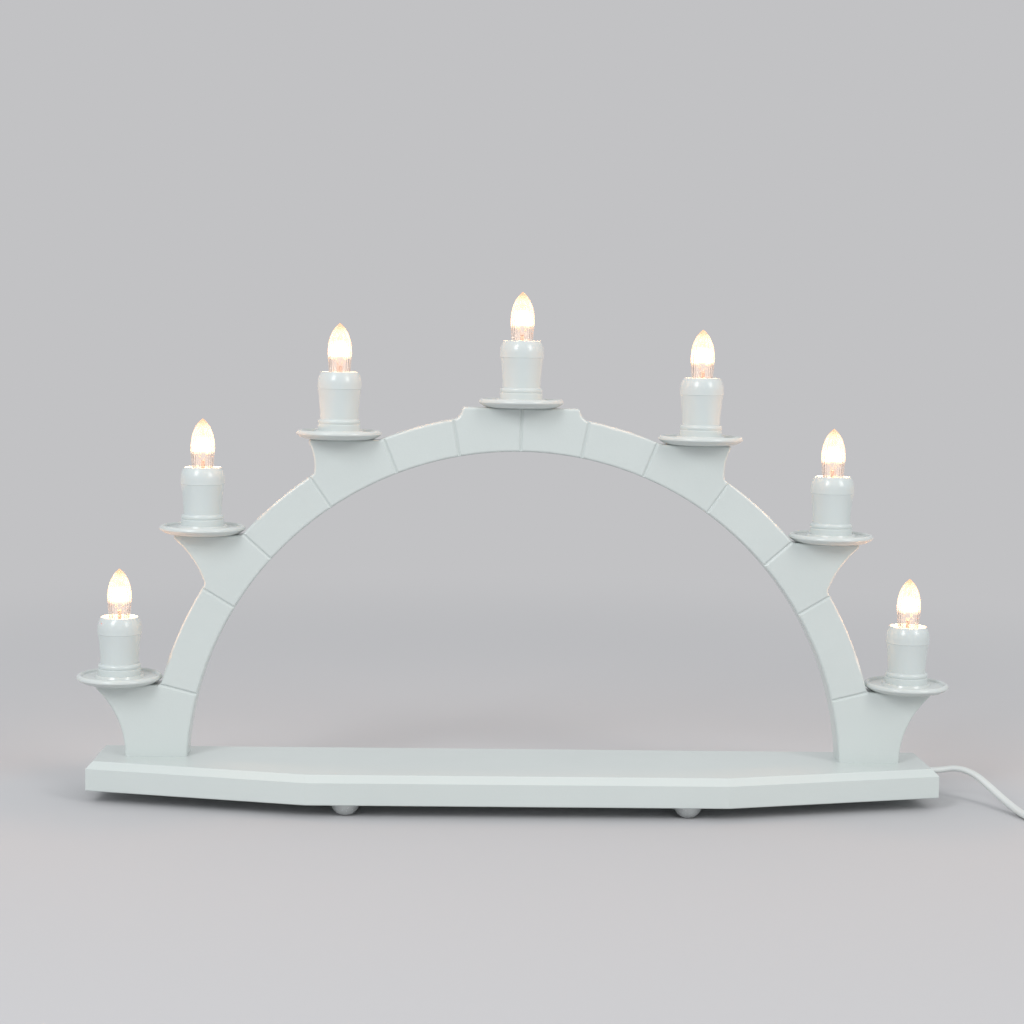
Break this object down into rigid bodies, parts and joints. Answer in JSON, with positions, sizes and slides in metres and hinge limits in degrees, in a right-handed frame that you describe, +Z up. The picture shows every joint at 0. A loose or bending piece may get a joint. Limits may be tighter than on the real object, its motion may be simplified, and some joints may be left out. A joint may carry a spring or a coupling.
{
  "type": "candle arch",
  "caption": "White electric candle arch: screw-in lamps in candle-shaped lampholders on drip dishes, on a wooden arch on a long board, with a mains lead and flat plug.",
  "frame": {"origin": "on the table under the middle of the board", "axes": "+X along the board to the end where the lead leaves, +Y to the back, +Z up"},
  "size_m": [0.6723, 0.1371, 0.3007],
  "materials": {
    "white_board": "satin white lacquer",
    "clear_foot": "clear soft dome",
    "zinc_steel": "zinc plated",
    "white_clamp": "matt",
    "wire_insulation": "smooth",
    "shell_brass": "plain",
    "lead_sheath": "smooth",
    "tie_plastic": "matt",
    "plug_plastic": "satin",
    "pin_brass": "nickel plated",
    "dish_white": "gloss",
    "holder_white": "gloss",
    "lamp_glass": "clear",
    "filament": "glowing",
    "cap_brass": "plated",
    "solder": "dull"
  },
  "bodies": {
    "stand": {"base_board": "white_board", "arch": "white_board", "feet": "clear_foot", "arch_screws": "zinc_steel", "wire_staples": "zinc_steel", "clamp_screws": "zinc_steel", "cord_clamp": "white_clamp", "link_wires": "wire_insulation", "return_wire": "wire_insulation", "screw_shells": "shell_brass", "centre_contacts": "shell_brass", "cord_inner": "lead_sheath", "cord_lead": "lead_sheath", "cord_coil": "lead_sheath", "cord_tie": "tie_plastic", "plug_body": "plug_plastic", "plug_pins": "pin_brass", "drip_dish_1": "dish_white", "lampholder_1": "holder_white", "drip_dish_2": "dish_white", "lampholder_2": "holder_white", "drip_dish_3": "dish_white", "lampholder_3": "holder_white", "drip_dish_4": "dish_white", "lampholder_4": "holder_white", "drip_dish_5": "dish_white", "lampholder_5": "holder_white", "drip_dish_6": "dish_white", "lampholder_6": "holder_white", "drip_dish_7": "dish_white", "lampholder_7": "holder_white"},
    "lamp_1_contact": {"lamp_contact_1": "solder"},
    "lamp_1": {"lamp_cap_1": "cap_brass", "lamp_glass_1": "lamp_glass", "lamp_filament_1": "filament"},
    "lamp_2_contact": {"lamp_contact_2": "solder"},
    "lamp_2": {"lamp_cap_2": "cap_brass", "lamp_glass_2": "lamp_glass", "lamp_filament_2": "filament"},
    "lamp_3_contact": {"lamp_contact_3": "solder"},
    "lamp_3": {"lamp_cap_3": "cap_brass", "lamp_glass_3": "lamp_glass", "lamp_filament_3": "filament"},
    "lamp_4_contact": {"lamp_contact_4": "solder"},
    "lamp_4": {"lamp_cap_4": "cap_brass", "lamp_glass_4": "lamp_glass", "lamp_filament_4": "filament"},
    "lamp_5_contact": {"lamp_contact_5": "solder"},
    "lamp_5": {"lamp_cap_5": "cap_brass", "lamp_glass_5": "lamp_glass", "lamp_filament_5": "filament"},
    "lamp_6_contact": {"lamp_contact_6": "solder"},
    "lamp_6": {"lamp_cap_6": "cap_brass", "lamp_glass_6": "lamp_glass", "lamp_filament_6": "filament"},
    "lamp_7_contact": {"lamp_contact_7": "solder"},
    "lamp_7": {"lamp_cap_7": "cap_brass", "lamp_glass_7": "lamp_glass", "lamp_filament_7": "filament"}
  },
  "joints": [
    {"name": "lamp_1_rise", "type": "slide", "parent": "stand", "child": "lamp_1_contact", "axis": [0, 0, 1], "range_m": [0, 0.0073]},
    {"name": "lamp_1_turn", "type": "hinge", "parent": "lamp_1_contact", "child": "lamp_1", "pos_m": [-0.23448, 0.015, 0], "axis": [0, 0, 1], "range_deg": [0, 1440]},
    {"name": "lamp_2_rise", "type": "slide", "parent": "stand", "child": "lamp_2_contact", "axis": [0, 0, 1], "range_m": [0, 0.0073]},
    {"name": "lamp_2_turn", "type": "hinge", "parent": "lamp_2_contact", "child": "lamp_2", "pos_m": [-0.18598, 0.015, 0], "axis": [0, 0, 1], "range_deg": [0, 1440]},
    {"name": "lamp_3_rise", "type": "slide", "parent": "stand", "child": "lamp_3_contact", "axis": [0, 0, 1], "range_m": [0, 0.0073]},
    {"name": "lamp_3_turn", "type": "hinge", "parent": "lamp_3_contact", "child": "lamp_3", "pos_m": [-0.10652, 0.015, 0], "axis": [0, 0, 1], "range_deg": [0, 1440]},
    {"name": "lamp_4_rise", "type": "slide", "parent": "stand", "child": "lamp_4_contact", "axis": [0, 0, 1], "range_m": [0, 0.0073]},
    {"name": "lamp_4_turn", "type": "hinge", "parent": "lamp_4_contact", "child": "lamp_4", "pos_m": [0, 0.015, 0], "axis": [0, 0, 1], "range_deg": [0, 1440]},
    {"name": "lamp_5_rise", "type": "slide", "parent": "stand", "child": "lamp_5_contact", "axis": [0, 0, 1], "range_m": [0, 0.0073]},
    {"name": "lamp_5_turn", "type": "hinge", "parent": "lamp_5_contact", "child": "lamp_5", "pos_m": [0.10652, 0.015, 0], "axis": [0, 0, 1], "range_deg": [0, 1440]},
    {"name": "lamp_6_rise", "type": "slide", "parent": "stand", "child": "lamp_6_contact", "axis": [0, 0, 1], "range_m": [0, 0.0073]},
    {"name": "lamp_6_turn", "type": "hinge", "parent": "lamp_6_contact", "child": "lamp_6", "pos_m": [0.18598, 0.015, 0], "axis": [0, 0, 1], "range_deg": [0, 1440]},
    {"name": "lamp_7_rise", "type": "slide", "parent": "stand", "child": "lamp_7_contact", "axis": [0, 0, 1], "range_m": [0, 0.0073]},
    {"name": "lamp_7_turn", "type": "hinge", "parent": "lamp_7_contact", "child": "lamp_7", "pos_m": [0.23448, 0.015, 0], "axis": [0, 0, 1], "range_deg": [0, 1440]}
  ],
  "couplings": [
    {"joint": "lamp_1_rise", "follows": "lamp_1_turn", "m_per_rad": 0.00028871},
    {"joint": "lamp_2_rise", "follows": "lamp_2_turn", "m_per_rad": 0.00028871},
    {"joint": "lamp_3_rise", "follows": "lamp_3_turn", "m_per_rad": 0.00028871},
    {"joint": "lamp_4_rise", "follows": "lamp_4_turn", "m_per_rad": 0.00028871},
    {"joint": "lamp_5_rise", "follows": "lamp_5_turn", "m_per_rad": 0.00028871},
    {"joint": "lamp_6_rise", "follows": "lamp_6_turn", "m_per_rad": 0.00028871},
    {"joint": "lamp_7_rise", "follows": "lamp_7_turn", "m_per_rad": 0.00028871}
  ]
}
